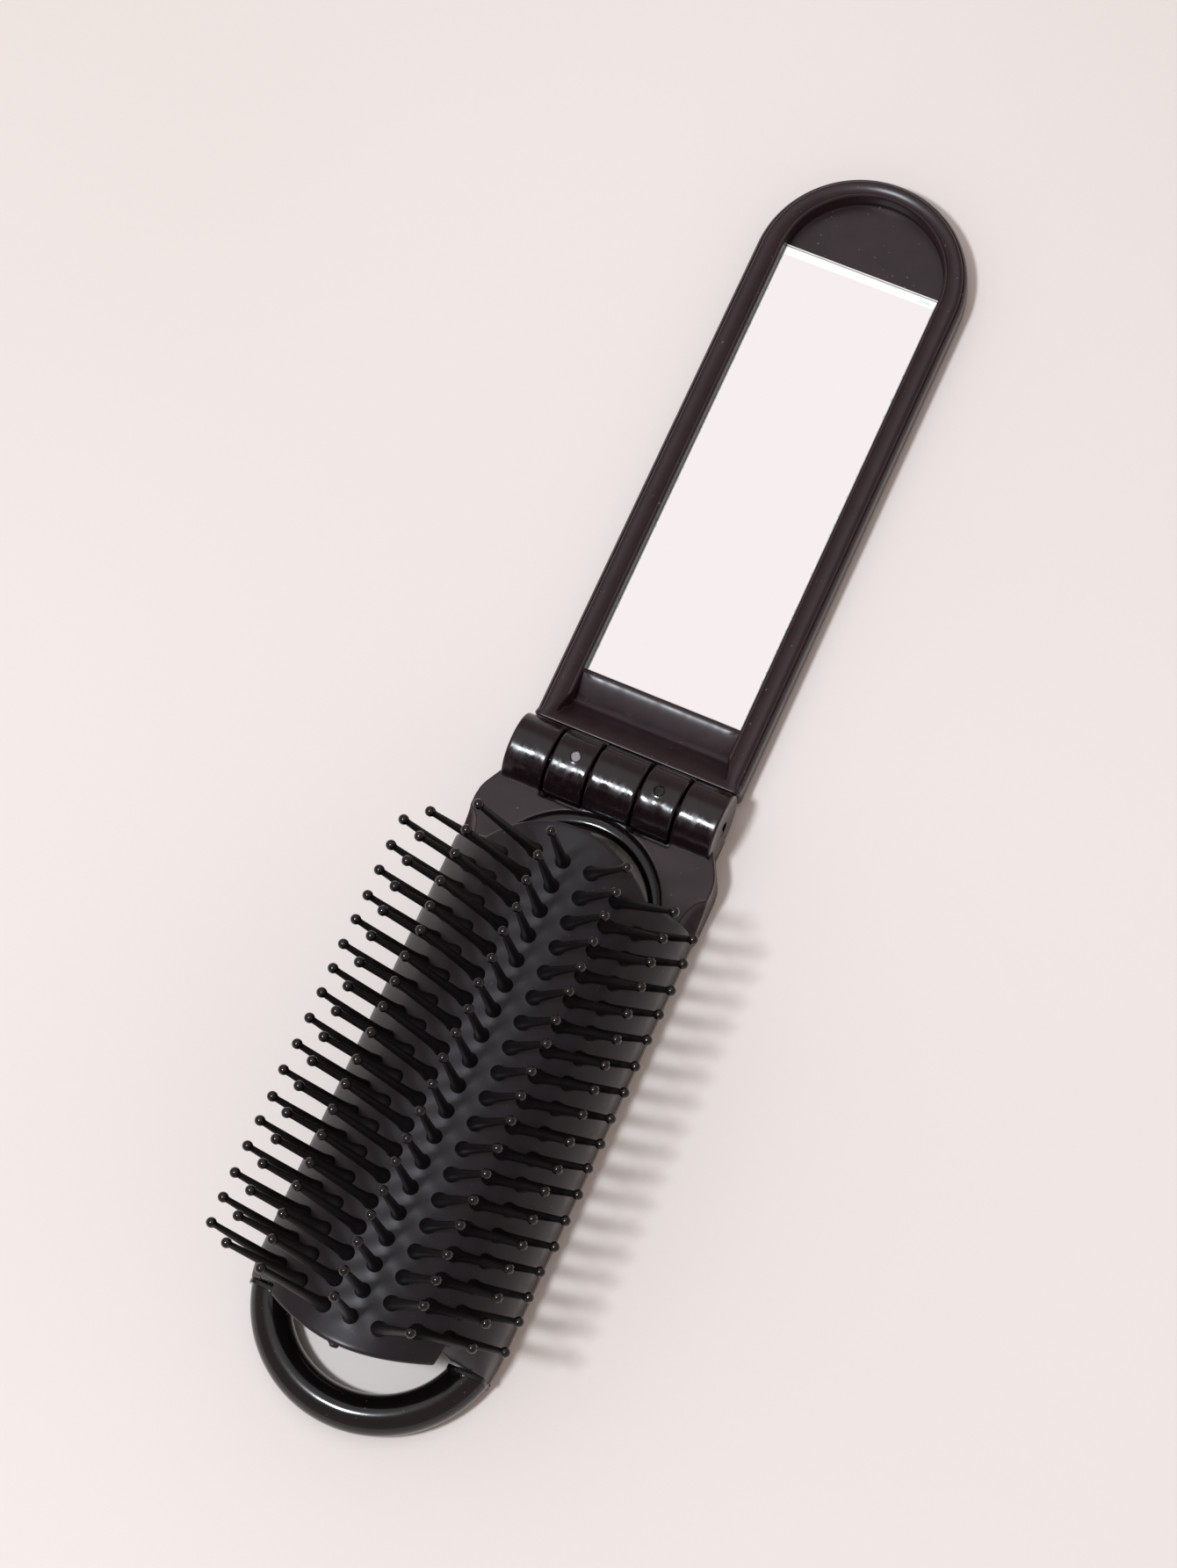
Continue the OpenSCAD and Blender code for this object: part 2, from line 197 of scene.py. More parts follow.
def knuckle_plastic():
    """Gloss ABS from a polished steel mould: short streaks round the barrel break its highlight
    into dabs. Each mirror knuckle has an ejector pin's disc, one pale and one dull dark, both
    rougher than the barrel: the pale one is a painted highlight, the dark one painted shade."""
    m, t, s, where = new_material("gloss_black_abs_knuckle")
    round_it = node(t, "ShaderNodeMapping", {"Vector": where, "Scale": (1500, 430, 430)}).outputs[0]
    dabs = node(t, "ShaderNodeTexNoise",
                {"Vector": round_it, "Scale": 1.0, "Detail": 1.0}).outputs["Fac"]
    patchy = noise(t, where, 1.6, 3.0)
    rough = plus(t, span(t, dabs, 0.35, 0.65, 0.10, 0.24), span(t, patchy, 0.3, 0.7, -0.04, 0.09))
    tone = two_tone(t, patchy, "#140c0f", "#1a1014")
    ragged = span(t, patchy, 0.3, 0.7, -0.12 * MM, 0.12 * MM)
    # the discs' colours are painted light: a painted highlight on the left disc, painted shade on
    # the right one
    for x, colour in ((-MARK_X, "#8d888d"), (MARK_X, "#050405")):
        centre = (x * MM, (PIN_Y + MARK_Y) * MM, (PIN_Z + BARREL_R - 0.1) * MM)
        far = node(t, "ShaderNodeVectorMath", {0: where, 1: centre}, operation="DISTANCE")
        wide = plus(t, far.outputs["Value"], ragged)
        tone = two_tone(t, span(t, wide, 0.60 * MM, 0.70 * MM, 1.0, 0.0), tone, colour)
        rough = plus(t, rough, span(t, wide, 0.60 * MM, 0.70 * MM, 0.45, 0.0))
    t.links.new(tone, s.inputs["Base Color"])
    t.links.new(rough, s.inputs["Roughness"])
    slow = node(t, "ShaderNodeBump", {"Height": patchy, "Strength": 1.0, "Distance": 0.012 * MM})
    fine = node(t, "ShaderNodeBump", {"Height": dabs, "Strength": 1.0, "Distance": 0.016 * MM,
                                      "Normal": slow.outputs[0]})
    t.links.new(fine.outputs[0], s.inputs["Normal"])
    s.inputs["Specular IOR Level"].default_value = 0.45
    return m


knuckle = knuckle_plastic()


def steel_material():
    """Drawn steel: bright metal with the fine lines of drawing along the pin."""
    m, t, s, where = new_material("drawn_steel")
    lines = node(t, "ShaderNodeMapping", {"Vector": where, "Scale": (60, 9000, 9000)}).outputs[0]
    n = node(t, "ShaderNodeTexNoise", {"Vector": lines, "Scale": 1.0, "Detail": 2.0}).outputs["Fac"]
    t.links.new(span(t, n, 0.3, 0.7, 0.22, 0.38), s.inputs["Roughness"])
    s.inputs["Metallic"].default_value = 1.0
    s.inputs["Base Color"].default_value = srgb("#b4b2b1")
    bump = node(t, "ShaderNodeBump", {"Height": n, "Strength": 0.5, "Distance": 0.003 * MM})
    t.links.new(bump.outputs[0], s.inputs["Normal"])
    return m


def mirror_material():
    """Silvered glass: a nearly perfect mirror with a faint warm tint and a trace of haze."""
    m, t, s, where = new_material("silvered_glass")
    haze = noise(t, where, 14.0, 4.0, 0.6)
    t.links.new(span(t, haze, 0.45, 0.8, 0.012, 0.05), s.inputs["Roughness"])
    s.inputs["Metallic"].default_value = 1.0
    s.inputs["Base Color"].default_value = srgb("#faf5f5")
    wave = node(t, "ShaderNodeBump", {"Height": noise(t, where, 30.0, 1.0), "Strength": 1.0,
                                      "Distance": 0.004 * MM})
    t.links.new(wave.outputs[0], s.inputs["Normal"])
    return m


def glass_edge_material():
    """Ground edge of float glass: it scatters white, with green where the light runs inside it and
    a grey line where the silvering ends; these colours also glow as emission, a painted glow
    standing in for that scattered light."""
    m, t, s, where = new_material("cut_glass_edge")
    streak = node(t, "ShaderNodeMapping", {"Vector": where, "Scale": (260, 1500, 1500)}).outputs[0]
    n = node(t, "ShaderNodeTexNoise",
             {"Vector": streak, "Scale": 1.0, "Detail": 3.0}).outputs["Fac"]
    tone = two_tone(t, span(t, n, 0.55, 0.70, 0.0, 1.0), "#fffffe", "#b4dccb")
    far = node(t, "ShaderNodeSeparateXYZ", {"Vector": where}).outputs["Y"]
    past = plus(t, far, -(PIN_Y + SILVER_END) * MM)
    line = span(t, past, -0.06 * MM, 0.0, 0.0, 0.85)
    back = span(t, past, 0.14 * MM, 0.18 * MM, 1.0, 0.35)
    line = node(t, "ShaderNodeMath", {0: line, 1: back}, operation="MULTIPLY").outputs[0]
    tone = two_tone(t, line, tone, "#4d5150")
    t.links.new(tone, s.inputs["Base Color"])
    # painted light: the edge's colour also glows as emission
    t.links.new(tone, s.inputs["Emission Color"])
    s.inputs["Emission Strength"].default_value = 0.42
    t.links.new(span(t, n, 0.3, 0.7, 0.10, 0.25), s.inputs["Roughness"])
    s.inputs["Metallic"].default_value = 0.15
    return m


def tape_material():
    """Foam adhesive: matt grey with closed cells."""
    m, t, s, where = new_material("foam_adhesive")
    cells = node(t, "ShaderNodeTexVoronoi", {"Vector": where, "Scale": 1 / (0.4 * MM)})
    tone = two_tone(t, cells.outputs["Distance"], "#8f8d88", "#b5b2ab")
    t.links.new(tone, s.inputs["Base Color"])
    s.inputs["Roughness"].default_value = 0.85
    return m


steel, mirror, glass_edge, tape = (steel_material(), mirror_material(), glass_edge_material(),
                                   tape_material())


# ---------------------------------------------------------------- mesh helpers
def piece(name, verts, faces, materials, body=None, slot=None, replaces=(), sharp=40,
          which=None):
    """One closed mesh, given in millimetres in the row frame."""
    me = bpy.data.meshes.new(name)
    me.from_pydata([tuple(v) for v in np.asarray(verts) * MM], [], faces)
    if which is not None:
        me.polygons.foreach_set("material_index", which)
    return finish_piece(name, me, materials, body, replaces, sharp)


def finish_piece(name, me, materials, body=None, replaces=(), sharp=40):
    """Merges and turns a mesh the right way out, and gives it its finish and its body."""
    bm = bmesh.new()
    bm.from_mesh(me)
    bmesh.ops.remove_doubles(bm, verts=bm.verts, dist=0.002 * MM)
    bmesh.ops.recalc_face_normals(bm, faces=bm.faces)
    bm.to_mesh(me)
    bm.free()
    me.shade_smooth()
    me.set_sharp_from_angle(angle=math.radians(sharp))
    for m in materials if isinstance(materials, (list, tuple)) else [materials]:
        me.materials.append(m)
    o = shown(name, me)
    if body:
        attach(o, body)
    if replaces:
        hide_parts(*replaces)
    return o


def grid(nu, nv, wrap_u=False, wrap_v=False, at=0):
    """Quads of a grid of nu x nv vertices, where u is the slow index."""
    return [(at + u * nv + v, at + (u + 1) % nu * nv + v, at + (u + 1) % nu * nv + (v + 1) % nv,
             at + u * nv + (v + 1) % nv)
            for u in range(nu if wrap_u else nu - 1) for v in range(nv if wrap_v else nv - 1)]


def join(parts):
    """Several (verts, faces) as one."""
    verts, faces = [], []
    for v, f in parts:
        base = len(verts)
        verts += [tuple(p) for p in v]
        faces += [tuple(i + base for i in face) for face in f]
    return verts, faces


def swept(sections):
    """A closed solid through sections of equal length, with flat ends."""
    n = len(sections[0])
    verts = [p for s in sections for p in s]
    last = (len(sections) - 1) * n
    return verts, grid(len(sections), n, wrap_v=True) + [tuple(range(n)),
                                                         tuple(range(last, last + n))]


def lathe_x(profile, segments=120, shift=None):
    """Turns (x, radius) points, a closed loop, about the hinge pin's axis."""
    verts = []
    for x, r in profile:
        for k in range(segments):
            a = 2 * math.pi * k / segments
            rr = r + (shift(x, r, a) if shift else 0.0)
            verts.append((x, PIN_Y + rr * math.sin(a), PIN_Z + rr * math.cos(a)))
    return verts, grid(len(profile), segments, wrap_u=True, wrap_v=True)


def prism(outline, z0, z1):
    """An upright block with the given outline."""
    return swept([[(x, y, z) for x, y in outline] for z in (z0, z1)])


def circle(cx, cy, r, n=160):
    """The points of a circle, the other way round from a clock's hands."""
    return [(cx + r * math.cos(2 * math.pi * k / n), cy + r * math.sin(2 * math.pi * k / n))
            for k in range(n)]


def shown(name, me):
    """Puts a mesh into the scene."""
    o = bpy.data.objects.new(name, me)
    bpy.context.scene.collection.objects.link(o)
    return o


def scratch(verts, faces):
    """A helper object that is removed again once it has cut or been copied."""
    me = bpy.data.meshes.new("scratch")
    me.from_pydata([tuple(v) for v in verts], [], faces)
    bm = bmesh.new()
    bm.from_mesh(me)
    bmesh.ops.recalc_face_normals(bm, faces=bm.faces)
    bm.to_mesh(me)
    bm.free()
    return shown("scratch", me)


def evaluated(o):
    """The object's mesh with its modifiers applied."""
    deps = bpy.context.evaluated_depsgraph_get()
    return bpy.data.meshes.new_from_object(o.evaluated_get(deps))


def carved(base, cuts, voxel, smooth):
    """base minus the cuts, remeshed so that all edges get the soft round of a moulding."""
    o = scratch(*base)
    tools = [scratch(*c) for c in cuts]
    for c in tools:
        m = o.modifiers.new("cut", "BOOLEAN")
        m.operation, m.object, m.solver = "DIFFERENCE", c, "EXACT"
    m = o.modifiers.new("voxels", "REMESH")
    m.mode, m.voxel_size, m.use_smooth_shade = "VOXEL", voxel, True
    m = o.modifiers.new("soften", "SMOOTH")
    m.factor, m.iterations = 0.5, smooth
    me = evaluated(o)
    for x in [o] + tools:
        bpy.data.objects.remove(x)
    me.transform(Matrix.Scale(MM, 4))
    return me


# ---------------------------------------------------------------- brush frame
def scallop(s, across=48, up=24):
    """The concave hollow in the plate's corner at the pad's shoulder."""
    cx, cy, cz = s * 18.6, PIN_Y - 15.8, 7.2
    turns = np.linspace(0, 2 * math.pi, across, endpoint=False)
    return swept([[(cx + 2.9 * math.cos(a) * math.cos(b), cy + 5.6 * math.sin(a) * math.cos(b),
                    cz + 3.0 * math.sin(b)) for a in turns] for b in np.linspace(-1.5, 1.5, up)])


def plate():
    """The plate: a hollow box with two slots for the mirror's knuckles and a round mouth."""
    half = [(15.95, 0.0), (15.95, -3.4), (16.6, -4.6), (17.7, -6.6), (18.05, -7.6), (18.2, -8.8),
            (18.2, -15.6)]
    outline = [(x, y + PIN_Y) for x, y in half] + [(-x, y + PIN_Y) for x, y in reversed(half)]
    pocket = [(16.1, -7.3), (16.4, -8.8), (16.4, -13.8), (13.6, -13.8), (12.6, -12.6), (9.6, -8.9),
              (6.0, -7.3)]
    slot_start, slot_end = PIN_Y - 5.5, PIN_Y + 9
    cuts = [prism(circle(0, PIN_Y - MOUTH_Y, MOUTH_R), -1, 12)]
    for s in (-1, 1):
        cuts.append(prism([(s * x, PIN_Y + y) for x, y in pocket], -1, 4.2))
        x0, x1 = sorted((s * FRAME_KNUCKLES[1][1], s * FRAME_KNUCKLES[2][0]))
        cuts.append(prism([(x0, slot_start), (x1, slot_start), (x1, slot_end), (x0, slot_end)],
                          -1, 12))
        cuts.append(scallop(s))
    me = carved(prism(outline, 0, PLATE_TOP), cuts, 0.15, 5)
    return finish_piece("frame_plate", me, satin, "brush_half",
                        ("brush_frame",), sharp=60)


def barrel_profile(x0, x1, bore, n):
    """A knuckle's section from x0 to x1: its bore, its faces and its rounded edges."""
    e, r = 0.35, BARREL_R
    bend = [(1 - math.cos(a), math.sin(a)) for a in np.linspace(0, math.pi / 2, 6)]
    left = [(x0 + e * c, r - e + e * s) for c, s in bend]
    right = [(x1 - e * c, r - e + e * s) for c, s in reversed(bend)]
    middle = [(x, r) for x in np.linspace(x0 + e, x1 - e, n)[1:-1]]
    face = [2.2, 3.2, 4.0]
    return ([(x0, bore)] + [(x0, f) for f in face] + left + middle + right
            + [(x1, f) for f in reversed(face)] + [(x1, bore)]
            + [(x, bore) for x in np.linspace(x1, x0, 6)[1:-1]])


def orange_peel(seed, depth):
    """The uneven pull of the mould on the glossy knuckles: long shallow dents."""
    g = np.random.default_rng(seed)
    waves = [(g.uniform(0.5, 1.6), g.uniform(1, 5), g.uniform(0, 6.28), g.uniform(0.4, 1))
             for _ in range(9)]

    def shift(x, r, a):
        if r < BARREL_R - 0.2:
            return 0.0
        return depth * sum(h * math.sin(fx * x * 2.1 + fa * a + ph) for fx, fa, ph, h in waves) / 9
    return shift


def frame_knuckles():
    parts = []
    for i, (x0, x1) in enumerate(FRAME_KNUCKLES):
        profile = barrel_profile(x0, x1, FRAME_BORE, 30)
        parts.append(lathe_x(profile, shift=orange_peel(3 + i, 0.05)))
    return piece("frame_knuckles", *join(parts), knuckle, "brush_half", "frame_plastic", sharp=35)


def mouth_lip():
    """The rounded glossy bead round the plate's opening; it thins out towards its ends."""
    end = math.asin(2.7 / 11.7)
    outer, top = MOUTH_R + 0.15, PLATE_TOP + 0.2
    sections = []
    for a in np.linspace(end + 0.02, math.pi - end - 0.02, 140):
        taper = math.sin((a - end) / (math.pi - 2 * end) * math.pi) ** 0.45
        w, h = 0.75 + 0.50 * taper, 0.60 + 0.38 * taper
        ring = []
        for k in range(20):
            b = 2 * math.pi * k / 20
            r = outer - w + w * math.cos(b)
            ring.append((r * math.cos(a), PIN_Y - MOUTH_Y + r * math.sin(a),
                         top - h + h * math.sin(b)))
        sections.append(ring)
    return piece("mouth_lip", *swept(sections), gloss, "brush_half", "frame_plastic", sharp=60)


def frame_loop():
    """The hanging loop's bar with its parting line, a collar at each end of it, and the rails
    that carry the pad's edges."""
    start = math.asin(3.2 / LOOP_R)
    n = 56
    sections = []
    for a in np.linspace(start, math.pi - start, 170):
        section = []
        for k in range(n):
            b = 2 * math.pi * k / n
            deg = math.degrees(b)
            dent = (0.07 * math.exp(-((deg - 321) / 3.2) ** 2)
                    - 0.05 * math.exp(-((deg - 205) / 3.5) ** 2))
            r = BAR_R - dent
            rad = LOOP_R + r * math.cos(b)
            section.append((rad * math.cos(a), PIN_Y - max(LOOP_Y + rad * math.sin(a), BAR_END),
                            BAR_R + r * math.sin(b)))
        sections.append(section)
    parts = [swept(sections)]
    collar = [(12.2, 0.3), (17.4, 0.3), (17.75, 0.7), (17.75, 5.4), (17.3, 6.2), (16.7, 6.5),
              (12.7, 6.5), (12.2, 6.1)]
    rail = [(16.4, 0.25), (16.65, 0), (17.65, 0), (17.9, 0.25), (17.9, 1.6), (17.75, 1.8),
            (17.65, 1.8), (17.65, 0.8), (17.15, 0.8), (17.15, 1.8), (16.55, 1.8), (16.4, 1.6)]
    stations = np.concatenate([np.linspace(15.3, 83.8, 40), [84.6]])
    for s in (-1, 1):
        parts.append(swept([[(s * x, PIN_Y - d, z) for x, z in collar]
                            for d in (83.42, 83.6, 84.0, 84.1)]))
        parts.append(swept([[(s * x * pull_in(d, 1.0), PIN_Y - d, z) for x, z in rail]
                            for d in stations]))
    return piece("frame_loop", *join(parts), gloss, "brush_half", "frame_plastic", sharp=35)


# ---------------------------------------------------------------- bristle pad
def pull_in(d, share=0.55):
    """How much narrower the pad gets as it follows a share of the loop's round end."""
    if d < ROUND_FROM:
        return 1.0
    return math.sqrt(HALF_W ** 2 - share * (d - ROUND_FROM) ** 2) / HALF_W


def turn_down(d, z):
    """How far the pad's shoulders turn down to meet the loop's bar."""
    return 0.5 * max(0.0, (d - 80.6) / 2.8) ** 1.7 * max(0.0, z - 5.8)


def sheet_start(x):
    """The tongue's round end at the hinge; outside it the sheet starts level."""
    cy, r = HINGE_TONGUE
    return cy - math.sqrt(r ** 2 - x * x) if abs(x) < TONGUE_X else EDGE_START


def sheet_end(x, shoulder):
    """The tongue's round end at the loop; the shoulders outside it stop short, at the bar."""
    cy, r = LOOP_TONGUE
    return PAD_END if shoulder else cy + math.sqrt(r ** 2 - x * x)


def feet(row):
    """Distances of a row's bristles from the pin; the outer rows are staggered and shorter."""
    skip = (0, 0, 0.5, 1)[row]
    return [FIRST + ROW_BACK[row] + (i + skip) * PITCH for i in range(int(PER_ROW - 2 * skip))]


FEET = [(ARCH_R * ROW_A[r], d) for r in range(4) for d in feet(r)]


def relief(s, d):
    """How far the sheet stands proud: a soft swelling round each foot and slanting folds
    between the feet of the inner rows."""
    out = 0.0
    for fs, fd in FEET:
        q = ((abs(s) - fs) ** 2 + (d - fd) ** 2) / 1.5
        if q < 9:
            out += 0.09 * math.exp(-q)
    fold = math.cos(2 * math.pi * (d - FIRST - 0.55 * abs(s) - 0.9) / PITCH)
    along = max(0.0, min(1.0, (d - 14) / 4, (87 - d) / 4))
    return out + 0.035 * fold * (1 / (1 + math.exp((abs(s) - 5.5) / 0.9)) * along)


def sheet_piece(name, side, a0, a1):
    """Part of the pad's arched sheet between two rows, bending between their strips."""
    nu = max(8, int(ARCH_R * (a1 - a0) / 0.42))
    nv = 176
    shoulder = name.endswith("shoulder")
    top, bottom = [], []
    for u in range(nu + 1):
        a = a0 + (a1 - a0) * u / nu
        x = ARCH_R * math.sin(a)
        y0, y1 = sheet_start(x), sheet_end(x, shoulder)
        ts = np.concatenate([[y0, y0 + 0.1, y0 + 0.3], np.linspace(y0 + 0.6, y1 - 0.9, nv),
                             [y1 - 0.65, y1 - 0.3, y1 - 0.1, y1]])
        for i, d in enumerate(ts):
            edge = min(i, len(ts) - 1 - i)
            drop = (0.36, 0.14, 0.03)[edge] if edge < 3 else 0.0
            r = ARCH_R - drop + (relief(ARCH_R * a, d) if edge > 2 else 0.0)
            w, low = pull_in(d), 0.0
            if shoulder:
                k = min(1.0, (x - ARCH_R * math.sin(a0)) / 1.2)
                low = k * k * (3 - 2 * k) * turn_down(d, ARCH_Z + r * math.cos(a))
            top.append((side * r * math.sin(a) * w, PIN_Y - d, ARCH_Z + r * math.cos(a) - low))
            q = ARCH_R - SHEET + (0.2 if edge == 0 else 0.0)
            bottom.append((side * q * math.sin(a) * w, PIN_Y - d,
                           ARCH_Z + q * math.cos(a) - 1.15 * low))
    m = len(ts)
    n = (nu + 1) * m
    faces = grid(nu + 1, m) + grid(nu + 1, m, at=n)
    rim = ([u * m for u in range(nu + 1)] + [nu * m + v for v in range(1, m)]
           + [u * m + m - 1 for u in range(nu - 1, -1, -1)] + [v for v in range(m - 2, 0, -1)])
    faces += [(rim[i], rim[(i + 1) % len(rim)], n + rim[(i + 1) % len(rim)], n + rim[i])
              for i in range(len(rim))]
    o = piece(name, top + bottom, faces, pad_skin, slot="pad_plastic", sharp=55)
    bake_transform(o)
    return o


def sheets():
    """The pad's sheet between the rows, and its bare shoulders outside the last ones."""
    end_a = math.asin(EDGE_X / ARCH_R)
    for side, word in ((-1, "left"), (1, "right")):
        for i in range(3):
            a, b = ROW_A[i], ROW_A[i + 1]
            sheet_piece(f"pad_sheet_{word}_{i + 1}", side, a, b)
        o = sheet_piece(f"pad_sheet_{word}_shoulder", side, ROW_A[3], end_a)
        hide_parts(f"pad_shoulder_{word}")


def pad_flank(side, word):
    """The pad's fixed edge: it turns down from the arch to an upright flank."""
    cx, cz, r = 9.9, 6.38, 8.0          # the round that turns the arch into the flank
    a_top = math.asin(16.5 / ARCH_R)    # where that round begins
    foot = 1.85                         # height of the flank's lower end
    outer = [(ARCH_R * math.sin(a), ARCH_Z + ARCH_R * math.cos(a))
             for a in np.linspace(math.asin(EDGE_X / ARCH_R), a_top, 3)]
    outer += [(cx + r * math.sin(a), cz + r * math.cos(a))
              for a in np.linspace(a_top, math.pi / 2, 22)[1:]]
    outer += [(HALF_W, z) for z in np.linspace(cz, 2.1, 9)[1:]] + [(17.82, 1.92), (17.65, foot)]
    inner = [(17.05, foot), (16.95, 1.95)] + [(16.9, z) for z in np.linspace(2.4, cz, 6)]
    inner += [(cx + (r - SHEET) * math.sin(a), cz + (r - SHEET) * math.cos(a))
              for a in np.linspace(math.pi / 2, a_top, 16)[1:]]
    inner = [(x, z) for x, z in inner if x > EDGE_X + 0.05] + [(EDGE_X, 9.55)]
    shape = outer + inner
    cxm = sum(p[0] for p in shape) / len(shape)
    stations = [(15.9, 0.97), (16.0, 0.99), (16.2, 1.0)]
    stations += [(d, 1.0) for d in np.linspace(17, 82.7, 150)]
    stations += [(PAD_END - 0.3, 1.0), (PAD_END - 0.1, 0.99), (PAD_END, 0.97)]
    sections = []
    for d, k in stations:
        ring = []
        for j, (x, z) in enumerate(shape):
            lift = 0.0
            if j < len(outer) - 2 and z > 9:
                lift = relief(ARCH_R * math.atan2(x, z - ARCH_Z), d)
            xx = cxm + (x - cxm) * (k if x > EDGE_X + 0.3 else 1.0)
            ring.append((side * (xx + lift * 0.5) * pull_in(d), PIN_Y - d,
                         z + lift * 0.5 - (1 - k) * 4 - turn_down(d, z)))
        sections.append(ring)
    return piece(f"pad_flank_{word}", *swept(sections), pad_skin, "brush_half", "pad_plastic",
                 (f"pad_edge_{word}",), sharp=50)


def gate_nub():
    """The torn-off stub of the moulding gate at the end of the pad's tongue."""
    cx, cy, cz = -0.5, PIN_Y - 88.65, CREST - 0.45
    verts = []
    bm = bmesh.new()
    bmesh.ops.create_icosphere(bm, subdivisions=3, radius=1.0)
    dirs = np.random.default_rng(11).normal(size=(6, 3))
    for v in bm.verts:
        waves = sum(math.sin(3.1 * v.co.dot(Vector(d)) + i) for i, d in enumerate(dirs))
        k = 1 + 0.22 * waves / 3
        verts.append((cx + v.co.x * 0.75 * k, cy + v.co.y * 0.5 * k, cz + v.co.z * 0.35 * k))
    faces = [tuple(v.index for v in f.verts) for f in bm.faces]
    bm.free()
    return piece("gate_nub", verts, faces, pad_skin, "pad_centre", "pad_plastic", sharp=35)


def bristle_mesh(length):
    """A bristle standing on the origin: a club-shaped foot, a tapered stem and a ball tip."""
    top = length - BALL_R
    prof = [(-0.45, 1.12), (-0.1, 1.12), (0.25, 1.1), (0.6, 1.03), (1.0, 0.93), (1.45, 0.84),
            (2.0, 0.78), (2.8, 0.73)]
    for h in np.linspace(3.8, top - 1.2, 7):
        prof.append((h, 0.73 - 0.28 * ((h - 2.8) / (top - 4.0)) ** 0.9))
    prof += [(top - 0.85, 0.45), (top - 0.68, 0.47)]
    prof += [(top + BALL_R * math.sin(b), BALL_R * math.cos(b))
             for b in np.linspace(-0.85, 1.35, 9)]
    n = 16
    verts = [(r * math.cos(2 * math.pi * k / n), r * math.sin(2 * math.pi * k / n), h)
             for h, r in prof for k in range(n)]
    last = (len(prof) - 1) * n
    verts.append((0, 0, length))
    faces = grid(len(prof), n, wrap_v=True) + [tuple(range(n - 1, -1, -1))]
    faces += [(last + k, last + (k + 1) % n, len(verts) - 1) for k in range(n)]
    o = scratch(np.array(verts) * MM, faces)
    o.data.materials.append(stem_nylon)
    o.data.materials.append(ball_nylon)
    neck = (top - 0.7) * MM
    o.data.polygons.foreach_set("material_index", [int(p.center.z > neck) for p in o.data.polygons])
    return o


def row_group():
    """Geometry nodes: a bristle on each point, turned by the point's own lean."""
    g = bpy.data.node_groups.new("bristle_row", "GeometryNodeTree")
    face = g.interface
    face.new_socket("Geometry", in_out="INPUT", socket_type="NodeSocketGeometry")
    which = face.new_socket("Bristle", in_out="INPUT", socket_type="NodeSocketObject")
    face.new_socket("Geometry", in_out="OUTPUT", socket_type="NodeSocketGeometry")
    ins, out = g.nodes.new("NodeGroupInput"), g.nodes.new("NodeGroupOutput")
    lean = node(g, "GeometryNodeInputNamedAttribute", {"Name": "lean"}, data_type="FLOAT_VECTOR")
    info = node(g, "GeometryNodeObjectInfo", {"Object": ins.outputs["Bristle"]})
    put = node(g, "GeometryNodeInstanceOnPoints",
               {"Points": ins.outputs[0], "Instance": info.outputs["Geometry"],
                "Rotation": lean.outputs[0]})
    real = node(g, "GeometryNodeRealizeInstances", {"Geometry": put.outputs[0]})
    g.links.new(real.outputs[0], out.inputs[0])
    return g, which.identifier


def bristles():
    """Seven rows, each a piece of its own on its strip; each bristle leans a little its own way."""
    g, which = row_group()
    protos = {}
    rows = [("pad_centre", 0, 0, "bristles_centre")]
    rows += [(f"pad_{w}_{i}", s, i, f"bristles_{w}_{i}")
             for s, w in ((-1, "left"), (1, "right")) for i in (1, 2, 3)]
    for body, side, row, name in rows:
        length = ROW_LEN[row]
        if length not in protos:
            protos[length] = bristle_mesh(length)
        pts, leans = [], []
        for d in feet(row):
            x = ROW_X[row] * side * pull_in(d)
            z = ARCH_Z + ARCH_R * math.cos(ROW_A[row])
            pts.append((x * MM, (PIN_Y - d) * MM, z * MM))
            wob = rng.normal(0, 0.6, 2)
            leans += [math.radians(ROW_TILT[row] + wob[0]),
                      math.radians(side * ROW_LEAN[row] + wob[1]), 0.0]
        me = bpy.data.meshes.new(name)
        me.from_pydata(pts, [], [])
        attr = me.attributes.new("lean", "FLOAT_VECTOR", "POINT")
        attr.data.foreach_set("vector", leans)
        o = shown(name, me)
        m = o.modifiers.new("row", "NODES")
        m.node_group = g
        m[which] = protos[length]
        solid = evaluated(o)
        o.modifiers.clear()
        bpy.data.objects.remove(o)
        solid.name = name
        o = shown(name, solid)
        solid.shade_smooth()
        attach(o, body)
        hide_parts(body)
    for p in protos.values():
        bpy.data.objects.remove(p)


